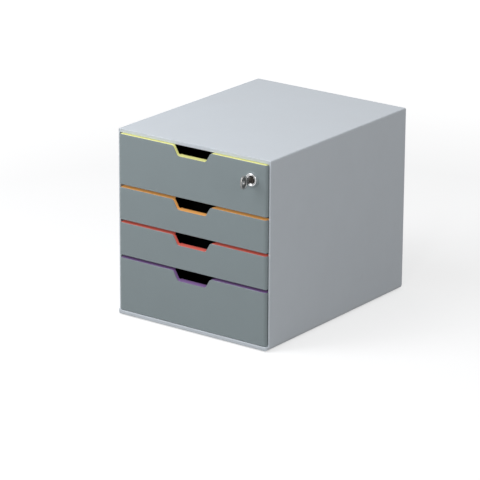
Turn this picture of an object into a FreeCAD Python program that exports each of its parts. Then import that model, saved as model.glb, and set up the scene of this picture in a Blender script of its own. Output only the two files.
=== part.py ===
# Desktop file drawer: a moulded casing on rubber feet, four drawers on side ledges, and a cylinder
# lock with its key in the top drawer. Millimetres, +Z up, drawers open along -Y. The origin is under
# the middle of the whole part, key included, on the plane that the feet stand on.
import FreeCAD, Part
import math
import os

from FreeCAD import Vector

# Casing
width = 280.0
depth = 356.0
height = 292.0
side_wall = 3.0
top_wall = 5.7
back_wall = 2.6
lip_height = 6.8
lip_round = 1.6
lip_end_round = 4.8
top_round = 2.0
bottom_round = 6.6
back_round = 1.6
rim_round = 1.0
mouth_depth = 6.0
mouth_round = 3.0

# Bays, from the bottom one up; the top bay has what height they leave
bottom_bay = 87.6
lower_bay = 55.9
upper_bay = 55.0

# Base plate and feet
foot_show = 1.2
foot_radius = 8.0
foot_round = 0.4
foot_pocket = 1.6
foot_inset = 22.0
plate_thick = 3.0
plate_margin = 8.0
plate_gap = 0.2
flange_width = 8.0
rib_thick = 2.0
rib_height = 3.4
rib_long_shares = (-0.5, 0.0, 0.5)
rib_cross_shares = (0.2, 0.4, 0.6, 0.8)
base_screw_shares = (0.1, 0.5, 0.9)
frame_screw_shares = (0.22, 0.78)

# Runner frames
frame_thick = 2.0
frame_gap = 0.2
ledge_width = 9.0
ledge_thick = 2.5
run_gap = 0.3
side_gap = 0.4
nub_setback = 80.0
nub_length = 5.0
nub_height = 2.0
nub_width = 6.0

# Drawer fronts and their coloured edge strips
front_proud = 5.0
front_side_gap = 0.7
front_low_gap = 0.7
front_top_drop = 4.0
front_roof_gap = 1.0
front_round = 4.4
front_edge_round = 0.8
notch_edge_round = 0.5
front_skin = 2.4
front_frame = 3.6
notch_top_width = 68.8
notch_low_width = 51.6
notch_depth = 15.0
notch_top_round = 6.0
notch_low_round = 6.0
strip_thick = 2.0
strip_depth = 11.0
strip_end_gap = 1.4
strip_end_round = 2.4
strip_lip = 1.0
strip_gap = 0.1
bend_depth = 5.0
bend_round = 2.0
bend_margin = 3.0
tongue_thick = 1.2
tongue_depth = 1.6
tongue_margin = 9.0

# Trays
tray_wall = 2.2
tray_floor = 2.2
tray_round = 4.0
tray_rim_drop = 3.0
tray_front_drop = 10.0
tray_close_gap = 0.4
finger_margin = 1.2
ear_width = 6.0
ear_length = 4.0
ear_drop = 0.7
stop_gap = 0.3

# Lock and key
lock_from_side = 30.5
lock_below_bay = 26.05
lock_proud = 3.0
collar_radius = 12.0
collar_proud = 0.8
collar_round = 0.6
ring_radius = 9.75
ring_round = 1.5
ring_dish_radius = 7.4
ring_dish_depth = 1.0
barrel_radius = 8.0
barrel_depth = 17.4
barrel_gap = 0.1
plug_radius = 5.5
plug_gap = 0.05
plug_set_back = 0.6
cam_gap = 0.3
cam_thick = 1.6
cam_width = 9.0
cam_head_gap = 0.6
cam_square = 6.0
cam_hole_gap = 0.05
nut_flats = 22.0
nut_sides = 6
nut_thick = 3.0
key_out = 23.5
key_thick = 2.2
key_round = 0.6
bow_height = 20.0
bow_depth = 15.0
bow_round = 7.0
bow_hole_radius = 2.3
bow_hole_inset = 5.0
neck_height = 9.6
neck_gap = 0.2
blade_thick = 2.0
blade_height = 7.8
blade_gap = 0.15
plug_web = 2.8
tooth_depth = 1.6
tooth_width = 1.8
tooth_shares = (0.2, 0.42, 0.62, 0.84)

# Lock strike under the top panel
strike_thick = 1.5
strike_width = 32.0
strike_tab_width = 24.0
strike_tab_drop = 6.5
strike_leg = 12.0
strike_clear = 0.4
strike_screw_shares = (-0.32, 0.32)

# Screws
countersunk_head = 3.0
countersunk_shank = 1.5
countersunk_length = 5.4
pan_head = 3.2
pan_height = 1.8
pan_round = 0.5
pan_shank = 1.4
pan_length = 5.4
small_length = 3.4
screw_fit = 0.1
drive_width = 0.7
drive_depth = 0.9
boss_radius = 4.5
front_screw_rise = 18.0
front_screw_shares = (-0.88, -0.4, 0.4, 0.88)

# Cutting tools run this far past the faces they cut
overrun = 1.0

# Points and directions closer than these count as the same
near = 0.001
near_upright_share = 0.999

# Places worked out from the sizes
half_width = width / 2
inner_half = half_width - side_wall
key_reach = lock_proud + key_out
back_y = (depth + key_reach) / 2
face_y = back_y - depth
rim_y = face_y + front_proud
inner_back_y = back_y - back_wall
bay_floor_z = foot_show + lip_height
top_z = height
roof_z = top_z - top_wall

bay_heights = {"bottom": bottom_bay, "lower": lower_bay, "upper": upper_bay}
bay_heights["top"] = roof_z - bay_floor_z - sum(bay_heights.values())
bay_lows = {}
next_low = bay_floor_z
for bay_name, bay_height in bay_heights.items():
    bay_lows[bay_name] = next_low
    next_low += bay_height

plate_half = half_width - plate_margin
plate_front_y = rim_y + plate_margin
plate_back_y = back_y - plate_margin
plate_top_z = foot_show + plate_thick
well_half = plate_half - flange_width
well_front_y = plate_front_y + flange_width
well_back_y = plate_back_y - flange_width

frame_front_y = rim_y + mouth_depth + frame_gap
frame_back_y = inner_back_y - frame_gap
frame_face = inner_half - frame_thick
nub_back_y = rim_y + nub_setback + nub_length

front_half = inner_half - front_side_gap
seat_half = front_half - strip_lip
strip_half = seat_half - strip_end_gap
strip_front_y = face_y + strip_lip + strip_gap
strip_back_y = strip_front_y + strip_depth
bend_back_y = strip_front_y + bend_depth
notch_top_half = notch_top_width / 2
notch_low_half = notch_low_width / 2
notch_slope = math.atan2(notch_depth, notch_top_half - notch_low_half)

tray_half = frame_face - side_gap
tray_back_y = inner_back_y - tray_close_gap
tray_front_back_y = rim_y + tray_wall

lock_x = half_width - lock_from_side
lock_z = roof_z - lock_below_bay
ring_face_y = face_y - lock_proud
plug_face_y = ring_face_y + plug_set_back
cam_y = face_y + barrel_depth + cam_gap
cam_back_y = cam_y + cam_thick
cam_reach = lock_below_bay - strike_thick - cam_head_gap
blade_length = cam_y - plug_web - blade_gap - plug_face_y
strike_back_y = cam_y - strike_clear
strike_front_y = strike_back_y - strike_thick
leg_back_y = strike_back_y + strike_leg

right = Vector(1, 0, 0)
inward = Vector(0, 1, 0)
up = Vector(0, 0, 1)
down = Vector(0, 0, -1)


def block(x_low, x_high, y_low, y_high, z_low, z_high):
    """Square-edged block between two opposite corners."""
    corner = Vector(x_low, y_low, z_low)
    return Part.makeBox(x_high - x_low, y_high - y_low, z_high - z_low, corner)


def bend(corner, before, after, radius):
    """Arc of the given radius that takes a corner off the way from one point to the next."""
    toward = (before - corner).normalize()
    away = (after - corner).normalize()
    half_angle = toward.getAngle(away) / 2
    middle = (toward + away).normalize()
    start = corner + toward * (radius / math.tan(half_angle))
    end = corner + away * (radius / math.tan(half_angle))
    crown = corner + middle * (radius / math.sin(half_angle) - radius)
    return Part.Arc(start, crown, end).toShape(), start, end


def prism(corners, reach):
    """Solid with a flat outline of (point, radius) corners, pushed along the reach vector."""
    edges = []
    stops = []
    count = len(corners)
    for index, (corner, radius) in enumerate(corners):
        if radius > 0:
            arc, start, end = bend(corner, corners[index - 1][0], corners[(index + 1) % count][0], radius)
            edges.append(arc)
            stops.append((start, end))
        else:
            stops.append((corner, corner))
    for index in range(count):
        start = stops[index][1]
        end = stops[(index + 1) % count][0]
        if start.distanceToPoint(end) > near:
            edges.append(Part.LineSegment(start, end).toShape())
    outline = Part.Wire(Part.__sortEdges__(edges))
    return Part.Face(outline).extrude(reach)


def edges_on_plane(shape, normal, offset):
    """Edges of a shape that lie wholly in the plane with this normal and offset."""
    found = []
    for edge in shape.Edges:
        points = [vertex.Point for vertex in edge.Vertexes] + [edge.CenterOfMass]
        if all(abs(point.dot(normal) - offset) < near for point in points):
            found.append(edge)
    return found


def placed(shape, seat, along):
    """Copy of a shape made about the upright axis, moved to a seat and pointed along an axis."""
    spot = shape.copy()
    spot.Placement = FreeCAD.Placement(seat, FreeCAD.Rotation(up, along))
    return spot


def drive_recess(head_radius, at_z):
    """Cross recess for the screwdriver, cut into a head whose face is at this height."""
    arm = head_radius - drive_width
    low = at_z - overrun
    high = at_z + drive_depth
    one = block(-arm, arm, -drive_width / 2, drive_width / 2, low, high)
    other = block(-drive_width / 2, drive_width / 2, -arm, arm, low, high)
    return one.fuse(other)


def countersunk_screw(grow=0.0):
    """Countersunk screw pointing up from its head face; grow widens it into its own hole."""
    cone = Part.makeCone(countersunk_head + grow, countersunk_shank + grow,
                         countersunk_head - countersunk_shank)
    screw = cone.fuse(Part.makeCylinder(countersunk_shank + grow, countersunk_length + grow))
    return screw if grow else screw.cut(drive_recess(countersunk_head, 0))


def pan_screw(length):
    """Pan-head screw pointing up, with the underside of its head at its own zero."""
    head = Part.makeCylinder(pan_head, pan_height, Vector(0, 0, -pan_height))
    head = head.makeFillet(pan_round, edges_on_plane(head, up, -pan_height))
    screw = head.fuse(Part.makeCylinder(pan_shank, length))
    return screw.cut(drive_recess(pan_head, -pan_height))


def screw_hole(length, seat, along):
    """Round hole for a pan-head screw's shank."""
    return placed(Part.makeCylinder(pan_shank + screw_fit, length + screw_fit), seat, along)


def save(name, pieces):
    """Writes one node; a list is a group of like pieces."""
    shape = Part.makeCompound(pieces) if isinstance(pieces, list) else pieces
    if not shape.isValid():
        raise ValueError(name + " is not a valid shape")
    shape.exportStep("parts/" + name + ".step")
    print(name, len(shape.Solids), round(shape.Volume), [round(side, 1) for side in
          (shape.BoundBox.XMin, shape.BoundBox.XMax, shape.BoundBox.YMin, shape.BoundBox.YMax,
           shape.BoundBox.ZMin, shape.BoundBox.ZMax)])


def base_screw_places():
    """Seats of the screws that come up through the base plate into the flange above it."""
    line_x = (plate_half + well_half) / 2
    length = plate_back_y - plate_front_y
    return [Vector(side * line_x, plate_front_y + share * length, foot_show)
            for side in (-1, 1) for share in base_screw_shares]


def frame_screw_places():
    """Seats of the screws that go down through the bottom ledges into the same flange."""
    line_x = frame_face - ledge_width / 2
    length = frame_back_y - frame_front_y
    return [Vector(side * line_x, frame_front_y + share * length, bay_floor_z + ledge_thick)
            for side in (-1, 1) for share in frame_screw_shares]


def strike_screw_places():
    """Seats of the strike's two screws, under its leg."""
    line_y = strike_back_y + strike_leg / 2
    return [Vector(lock_x + share * strike_width, line_y, roof_z - strike_thick)
            for share in strike_screw_shares]


def casing_body():
    """Outer form of the casing, whose front lip reaches as far forward as the drawer fronts."""
    outline = [(Vector(-half_width, face_y, foot_show), bottom_round),
               (Vector(half_width, face_y, foot_show), bottom_round),
               (Vector(half_width, face_y, top_z), top_round),
               (Vector(-half_width, face_y, top_z), top_round)]
    profile = [(Vector(-half_width, face_y, foot_show), lip_round),
               (Vector(-half_width, face_y, bay_floor_z), lip_round),
               (Vector(-half_width, rim_y, bay_floor_z), 0), (Vector(-half_width, rim_y, top_z), 0),
               (Vector(-half_width, back_y, top_z), 0), (Vector(-half_width, back_y, foot_show), 0)]
    plan = [(Vector(-half_width, face_y, foot_show), lip_end_round),
            (Vector(half_width, face_y, foot_show), lip_end_round),
            (Vector(half_width, back_y, foot_show), 0), (Vector(-half_width, back_y, foot_show), 0)]
    body = prism(outline, inward * depth).common(prism(profile, right * width))
    body = body.common(prism(plan, up * (top_z - foot_show)))
    body = body.makeFillet(back_round, edges_on_plane(body, inward, back_y))
    rim_edges = [edge for edge in edges_on_plane(body, inward, rim_y)
                 if edge.CenterOfMass.z > bay_floor_z + near]
    return body.makeFillet(rim_round, rim_edges)


def casing_shell():
    """Top, sides, back and front lip, moulded in one piece and open at the front."""
    shell = casing_body()
    mouth = [(Vector(-inner_half, rim_y - overrun, bay_floor_z), mouth_round),
             (Vector(inner_half, rim_y - overrun, bay_floor_z), mouth_round),
             (Vector(inner_half, rim_y - overrun, roof_z), 0),
             (Vector(-inner_half, rim_y - overrun, roof_z), 0)]
    shell = shell.cut(prism(mouth, inward * (mouth_depth + 2 * overrun)))
    room = block(-inner_half, inner_half, rim_y + mouth_depth, inner_back_y, bay_floor_z, roof_z)
    shell = shell.cut(room)
    plate_room = block(-plate_half, plate_half, plate_front_y, plate_back_y,
                       foot_show - overrun, plate_top_z)
    well = block(-well_half, well_half, well_front_y, well_back_y, foot_show, bay_floor_z + overrun)
    shell = shell.cut(plate_room).cut(well)
    for seat in base_screw_places():
        shell = shell.cut(placed(countersunk_screw(screw_fit), seat, up))
    for seat in frame_screw_places():
        shell = shell.cut(placed(countersunk_screw(screw_fit), seat, down))
    for seat in strike_screw_places():
        shell = shell.cut(screw_hole(small_length, seat, up))
    return shell


def foot_places():
    """Centres of the four feet, on the plane they stand on."""
    line_x = plate_half - foot_inset
    lines_y = (plate_front_y + foot_inset, plate_back_y - foot_inset)
    return [Vector(side * line_x, line_y, 0) for side in (-1, 1) for line_y in lines_y]


def base_plate():
    """Floor panel let into the underside, ribbed inside, with a pocket for each foot."""
    plate = block(plate_gap - plate_half, plate_half - plate_gap, plate_front_y + plate_gap,
                  plate_back_y - plate_gap, foot_show, plate_top_z)
    length = well_back_y - well_front_y
    rib_top = plate_top_z + rib_height
    for share in rib_long_shares:
        middle = share * well_half
        plate = plate.fuse(block(middle - rib_thick / 2, middle + rib_thick / 2, well_front_y + plate_gap,
                                 well_back_y - plate_gap, plate_top_z, rib_top))
    for share in rib_cross_shares:
        middle = well_front_y + share * length
        plate = plate.fuse(block(plate_gap - well_half, well_half - plate_gap, middle - rib_thick / 2,
                                 middle + rib_thick / 2, plate_top_z, rib_top))
    for seat in foot_places():
        plate = plate.cut(Part.makeCylinder(foot_radius, foot_show + foot_pocket, seat))
    for seat in base_screw_places():
        plate = plate.cut(placed(countersunk_screw(screw_fit), seat, up))
    return plate.removeSplitter()


def rubber_feet():
    """Four round feet glued into the base plate's pockets."""
    feet = []
    for seat in foot_places():
        foot = Part.makeCylinder(foot_radius, foot_show + foot_pocket, seat)
        feet.append(foot.makeFillet(foot_round, edges_on_plane(foot, up, 0)))
    return feet


def runner_frame(side):
    """Inner side frame: a plate against the side wall, a ledge for each drawer and its stop nub."""
    def strip_of(x_from, x_to, y_from, y_to, z_from, z_to):
        ends = sorted((side * x_from, side * x_to))
        return block(ends[0], ends[1], y_from, y_to, z_from, z_to)

    frame = strip_of(frame_face, inner_half, frame_front_y, frame_back_y, bay_floor_z, roof_z - frame_gap)
    for name, low in bay_lows.items():
        high = low + bay_heights[name]
        frame = frame.fuse(strip_of(frame_face - ledge_width, frame_face, frame_front_y, frame_back_y,
                                    low, low + ledge_thick))
        frame = frame.fuse(strip_of(frame_face - nub_width, frame_face, nub_back_y - nub_length,
                                    nub_back_y, high - nub_height, high - frame_gap))
    for seat in frame_screw_places():
        frame = frame.cut(placed(countersunk_screw(screw_fit), seat, down))
    return frame.removeSplitter()


def front_top(name):
    """Height of a front's top edge; the top front reaches almost to the panel above it."""
    drop = front_roof_gap if name == "top" else front_top_drop
    return bay_lows[name] + bay_heights[name] - drop


def edge_path(top, rise):
    """Top edge of a front with its finger notch, left to right, lifted square to itself by rise."""
    shift = rise * math.tan(notch_slope / 2)
    high = notch_top_half - shift
    low = notch_low_half - shift
    return [(Vector(-high, face_y, top + rise), notch_top_round + rise),
            (Vector(-low, face_y, top - notch_depth + rise), notch_low_round - rise),
            (Vector(low, face_y, top - notch_depth + rise), notch_low_round - rise),
            (Vector(high, face_y, top + rise), notch_top_round + rise)]


def above_edge(top, rise, half, front_y, back_y):
    """Everything over the edge path between two Y places and out to half on both sides."""
    roof = top + rise + notch_depth
    corners = [(Vector(-half, front_y, top + rise), 0)]
    corners += [(Vector(point.x, front_y, point.z), radius) for point, radius in edge_path(top, rise)]
    corners += [(Vector(half, front_y, top + rise), 0), (Vector(half, front_y, roof), 0),
                (Vector(-half, front_y, roof), 0)]
    return prism(corners, inward * (back_y - front_y))


def tongue_blocks(top, grow):
    """Tongues under the strip's straight runs; grow makes the grooves that they drop into."""
    middle_y = face_y + front_proud / 2
    half = tongue_thick / 2 + grow
    start = notch_top_half + tongue_margin - grow
    end = strip_half - tongue_margin + grow
    base = top - strip_thick
    return [block(min(side * start, side * end), max(side * start, side * end), middle_y - half,
                  middle_y + half, base - tongue_depth - grow, base + grow) for side in (-1, 1)]


def drawer_front(name):
    """Front panel with rounded ends, a notch, hollows behind its skin, and a seat for the strip."""
    low = bay_lows[name] + front_low_gap
    top = front_top(name)
    corners = [(Vector(-front_half, face_y, low), front_edge_round),
               (Vector(-front_half, face_y, top), front_edge_round)]
    corners += edge_path(top, 0)
    corners += [(Vector(front_half, face_y, top), front_edge_round),
                (Vector(front_half, face_y, low), front_edge_round)]
    panel = prism(corners, inward * front_proud)
    panel = panel.makeFillet(notch_edge_round, edges_on_plane(panel, inward, face_y))
    ends = [(Vector(-front_half, face_y, low), front_round), (Vector(front_half, face_y, low), front_round),
            (Vector(front_half, rim_y, low), 0), (Vector(-front_half, rim_y, low), 0)]
    panel = panel.common(prism(ends, up * (top - low)))
    sill = [(Vector(-front_half, face_y, low), front_edge_round), (Vector(-front_half, rim_y, low), 0),
            (Vector(-front_half, rim_y, top), 0), (Vector(-front_half, face_y, top), 0)]
    panel = panel.common(prism(sill, right * (2 * front_half)))
    for hollow in front_hollows(name, low, top):
        panel = panel.cut(hollow)
    panel = panel.cut(strip_seat(top))
    for groove in tongue_blocks(top, strip_gap):
        panel = panel.cut(groove)
    for seat in front_screw_places(name):
        panel = panel.cut(screw_hole(pan_length, seat, -inward))
    if name == "top":
        panel = add_lock_seat(panel)
    return panel


def strip_seat(top):
    """Step behind a front's top edge that the strip lies on; a thin lip stands round it."""
    seat = above_edge(top, -strip_thick, seat_half, face_y + strip_lip, rim_y + overrun)
    low = top - notch_depth - strip_thick - overrun
    plan = [(Vector(-seat_half, face_y + strip_lip, low), front_round - strip_lip),
            (Vector(seat_half, face_y + strip_lip, low), front_round - strip_lip),
            (Vector(seat_half, rim_y + overrun, low), 0), (Vector(-seat_half, rim_y + overrun, low), 0)]
    return seat.common(prism(plan, up * (2 * notch_depth)))


def front_hollows(name, low, top):
    """Room behind the skin on each side of the notch, with bosses left for screws and lock."""
    start = notch_top_half + front_frame
    end = front_half - front_frame
    bosses = [Part.makeCylinder(boss_radius, front_proud, Vector(seat.x, face_y, seat.z), inward)
              for seat in front_screw_places(name)]
    if name == "top":
        bosses.append(Part.makeCylinder(collar_radius, front_proud, Vector(lock_x, face_y, lock_z), inward))
    hollows = []
    for side in (-1, 1):
        ends = sorted((side * start, side * end))
        room = block(ends[0], ends[1], face_y + front_skin, rim_y + overrun,
                     low + front_frame, top - strip_thick - front_frame)
        hollows.append(room.cut(Part.makeCompound(bosses)))
    return hollows


def add_lock_seat(panel):
    """Low collar on the panel's face round the lock, and the hole through both."""
    centre = Vector(lock_x, face_y - collar_proud, lock_z)
    collar = Part.makeCylinder(collar_radius, collar_proud + front_skin, centre, inward)
    collar = collar.makeFillet(collar_round, edges_on_plane(collar, inward, face_y - collar_proud))
    hole = Part.makeCylinder(barrel_radius + barrel_gap, front_proud + 2 * overrun + collar_proud,
                             Vector(lock_x, face_y - collar_proud - overrun, lock_z), inward)
    return panel.fuse(collar).cut(hole).removeSplitter()


def edge_strip(name):
    """Coloured strip let into a front's top edge, narrower at its bends, with two tongues below."""
    top = front_top(name)
    band = above_edge(top, -strip_thick, strip_half, strip_front_y, strip_back_y)
    band = band.cut(above_edge(top, 0, strip_half + overrun, strip_front_y - overrun,
                               strip_back_y + overrun))
    base = top - notch_depth - strip_thick - overrun
    far = notch_top_half + bend_margin
    rear = [(Vector(strip_half, strip_back_y, base), 0), (Vector(far, strip_back_y, base), bend_round),
            (Vector(far, bend_back_y, base), bend_round),
            (Vector(notch_low_half, bend_back_y, base), bend_round),
            (Vector(notch_low_half, strip_back_y, base), bend_round)]
    plan = [(Vector(-strip_half, strip_front_y, base), strip_end_round),
            (Vector(strip_half, strip_front_y, base), strip_end_round)]
    plan += rear + [(Vector(-point.x, point.y, point.z), radius) for point, radius in reversed(rear)]
    strip = band.common(prism(plan, up * (2 * notch_depth)))
    for tongue in tongue_blocks(top, 0):
        strip = strip.fuse(tongue)
    return strip.removeSplitter()


def front_screw_places(name):
    """Seats of the front's screws, on the inner face of the tray's front wall."""
    return [Vector(share * front_half, tray_front_back_y, bay_lows[name] + front_screw_rise)
            for share in front_screw_shares]


def drawer_tray(name):
    """Open box that slides on the ledges, with stop ears on its rear corners."""
    bay_low = bay_lows[name]
    bay_high = bay_low + bay_heights[name]
    low = bay_low + ledge_thick + run_gap
    rim = bay_high - tray_rim_drop
    tray = block(-tray_half, tray_half, rim_y, tray_back_y, low, rim)
    tray = tray.makeFillet(tray_round, tray_corner_edges(tray))
    room = block(tray_wall - tray_half, tray_half - tray_wall, tray_front_back_y, tray_back_y - tray_wall,
                 low + tray_floor, bay_high)
    room = room.makeFillet(tray_round - tray_wall, tray_corner_edges(room)
                           + edges_on_plane(room, up, low + tray_floor))
    for side in (-1, 1):
        ends = sorted((side * (tray_half - ear_width), side * tray_half))
        ear = block(ends[0], ends[1], tray_back_y - ear_length, tray_back_y,
                    rim - ear_width, bay_high - ear_drop)
        tray = tray.fuse(ear.common(tray_plan(low, bay_high)))
    tray = tray.cut(room)
    tray = tray.cut(block(-tray_half - overrun, tray_half + overrun, rim_y - overrun,
                          strip_back_y + run_gap, bay_high - tray_front_drop, bay_high))
    tray = tray.cut(finger_room(name))
    for seat in front_screw_places(name):
        tray = tray.cut(screw_hole(pan_length, seat + inward * screw_fit, -inward))
    if name == "top":
        tray = tray.cut(Part.makeCylinder(barrel_radius + barrel_gap, tray_wall + 2 * overrun,
                                          Vector(lock_x, rim_y - overrun, lock_z), inward))
    return tray.removeSplitter()


def tray_corner_edges(shape):
    """Upright edges of a box-shaped solid."""
    return [edge for edge in shape.Edges
            if abs(edge.tangentAt(edge.FirstParameter).z) > near_upright_share]


def tray_plan(low, high):
    """Full-height prism of the tray's rounded plan, for trimming what stands on its corners."""
    plan = block(-tray_half, tray_half, rim_y, tray_back_y, low, high)
    return plan.makeFillet(tray_round, tray_corner_edges(plan))


def finger_room(name):
    """Dip in the tray's front wall, a margin wider all round than the strip that passes over it."""
    return above_edge(front_top(name), -strip_thick - finger_margin, notch_top_half + notch_top_round,
                      face_y, tray_front_back_y + overrun)


def lock_housing():
    """Barrel with the bright face ring, bored for the plug."""
    ring = Part.makeCylinder(ring_radius, lock_proud - collar_proud,
                             Vector(lock_x, ring_face_y, lock_z), inward)
    ring = ring.makeFillet(ring_round, edges_on_plane(ring, inward, ring_face_y))
    barrel = Part.makeCylinder(barrel_radius, barrel_depth + lock_proud,
                               Vector(lock_x, ring_face_y, lock_z), inward)
    dish = Part.makeCone(ring_dish_radius, plug_radius, ring_dish_depth,
                         Vector(lock_x, ring_face_y, lock_z), inward)
    bore = Part.makeCylinder(plug_radius, barrel_depth + lock_proud + overrun,
                             Vector(lock_x, ring_face_y, lock_z), inward)
    barrel = barrel.makeFillet(ring_round, edges_on_plane(barrel, inward, ring_face_y))
    return ring.fuse(barrel).cut(dish).cut(bore).removeSplitter()


def lock_plug():
    """Turning cylinder with the keyway in its face and a square at its back for the cam."""
    plug = Part.makeCylinder(plug_radius - plug_gap, cam_y - plug_face_y,
                             Vector(lock_x, plug_face_y, lock_z), inward)
    square = cam_square / 2
    plug = plug.fuse(block(lock_x - square, lock_x + square, cam_y, cam_back_y,
                           lock_z - square, lock_z + square))
    slot_half = blade_thick / 2 + blade_gap
    slot_rise = blade_height / 2 + blade_gap
    slot = block(lock_x - slot_half, lock_x + slot_half, plug_face_y - overrun,
                 plug_face_y + blade_length + blade_gap, lock_z - slot_rise, lock_z + slot_rise)
    seat = Vector(lock_x, cam_back_y, lock_z)
    return plug.cut(slot).cut(screw_hole(small_length, seat, -inward)).removeSplitter()


def lock_cam():
    """Flat tongue on the plug's square, pointing to the middle of the drawer when unlocked."""
    half = cam_width / 2
    corners = [(Vector(lock_x + half, cam_y, lock_z - half), half - cam_gap),
               (Vector(lock_x + half, cam_y, lock_z + half), half - cam_gap),
               (Vector(lock_x - cam_reach, cam_y, lock_z + half), half / 2),
               (Vector(lock_x - cam_reach, cam_y, lock_z - half), half / 2)]
    square = cam_square / 2 + cam_hole_gap
    hole = block(lock_x - square, lock_x + square, cam_y - overrun, cam_back_y + overrun,
                 lock_z - square, lock_z + square)
    return prism(corners, inward * cam_thick).cut(hole)


def lock_nut():
    """Six-sided nut that draws the housing tight against the tray's front wall."""
    corner_radius = nut_flats / 2 / math.cos(math.pi / nut_sides)
    corners = []
    for step in range(nut_sides):
        angle = 2 * math.pi * step / nut_sides
        point = Vector(lock_x + corner_radius * math.cos(angle), tray_front_back_y,
                       lock_z + corner_radius * math.sin(angle))
        corners.append((point, 0))
    bore = Part.makeCylinder(barrel_radius + barrel_gap, nut_thick + 2 * overrun,
                             Vector(lock_x, tray_front_back_y - overrun, lock_z), inward)
    return prism(corners, inward * nut_thick).cut(bore)


def key():
    """Flat key standing upright in the plug: round bow with a ring hole, neck and cut blade."""
    start_x = lock_x - key_thick / 2
    tip_y = ring_face_y - key_out
    bow_end_y = tip_y + bow_depth
    half = bow_height / 2
    bow = prism([(Vector(start_x, tip_y, lock_z - half), bow_round),
                 (Vector(start_x, tip_y, lock_z + half), bow_round),
                 (Vector(start_x, bow_end_y, lock_z + half), bow_round),
                 (Vector(start_x, bow_end_y, lock_z - half), bow_round)], right * key_thick)
    hole = Part.makeCylinder(bow_hole_radius, key_thick + 2 * overrun,
                             Vector(start_x - overrun, tip_y + bow_hole_inset, lock_z), right)
    faces = edges_on_plane(bow, right, start_x) + edges_on_plane(bow, right, start_x + key_thick)
    bow = bow.makeFillet(key_round, faces).cut(hole)
    neck = block(start_x, start_x + key_thick, bow_end_y - bow_round / 2, plug_face_y - neck_gap,
                 lock_z - neck_height / 2, lock_z + neck_height / 2)
    blade = block(lock_x - blade_thick / 2, lock_x + blade_thick / 2, plug_face_y - neck_gap - overrun,
                  plug_face_y + blade_length, lock_z - blade_height / 2, lock_z + blade_height / 2)
    for share in tooth_shares:
        middle = plug_face_y + share * blade_length
        tooth = prism([(Vector(start_x, middle - tooth_width, lock_z + blade_height), 0),
                       (Vector(start_x, middle, lock_z + blade_height / 2 - tooth_depth), 0),
                       (Vector(start_x, middle + tooth_width, lock_z + blade_height), 0)],
                      right * key_thick)
        blade = blade.cut(tooth)
    return bow.fuse(neck).fuse(blade).removeSplitter()


def lock_strike():
    """Angle under the top panel: a leg against the panel, and a tab that stands before the raised cam."""
    half = strike_width / 2
    tab_half = strike_tab_width / 2
    leg = block(lock_x - half, lock_x + half, strike_front_y, leg_back_y, roof_z - strike_thick, roof_z)
    tab = block(lock_x - tab_half, lock_x + tab_half, strike_front_y, strike_back_y,
                roof_z - strike_thick - strike_tab_drop, roof_z - strike_thick)
    strike = leg.fuse(tab)
    for seat in strike_screw_places():
        strike = strike.cut(screw_hole(strike_thick + overrun, seat - up * overrun / 2, up))
    return strike.removeSplitter()


os.makedirs("parts", exist_ok=True)

save("casing_shell", casing_shell())
save("base_plate", base_plate())
save("rubber_feet", rubber_feet())
save("base_screws", [placed(countersunk_screw(), seat, up) for seat in base_screw_places()])
save("runner_frame_left", runner_frame(-1))
save("runner_frame_right", runner_frame(1))
save("frame_screws", [placed(countersunk_screw(), seat, down) for seat in frame_screw_places()])
save("lock_strike", lock_strike())
save("strike_screws", [placed(pan_screw(small_length), seat, up) for seat in strike_screw_places()])

for drawer in bay_heights:
    save(drawer + "_tray", drawer_tray(drawer))
    save(drawer + "_front", drawer_front(drawer))
    save(drawer + "_edge_strip", edge_strip(drawer))
    save(drawer + "_front_screws", [placed(pan_screw(pan_length), seat, -inward)
                                    for seat in front_screw_places(drawer)])

save("lock_housing", lock_housing())
save("lock_nut", lock_nut())
save("lock_plug", lock_plug())
save("lock_cam", lock_cam())
save("cam_screw", placed(pan_screw(small_length), Vector(lock_x, cam_back_y, lock_z), -inward))
save("key", key())

travel = tray_back_y - ear_length - nub_back_y - stop_gap
print("drawer travel", travel, "lock axis", lock_x, lock_z, "front face", face_y, "rim", rim_y)
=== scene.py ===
# %% [markdown]
# # A desktop file drawer, dressed for its portrait
# A moulded plastic box with four drawers stands on a white table. Its construction comes ready made
# as solids. This lesson gives every surface its finish, models the small pieces that catch the eye,
# and sets up the camera and the studio. Each step says first what the thing is in real life, then
# how it could be made in Blender, and then why this way was chosen.

# %% Start from the construction
import math

import bmesh
import bpy
from mathutils import Euler, Matrix, Vector


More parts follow.
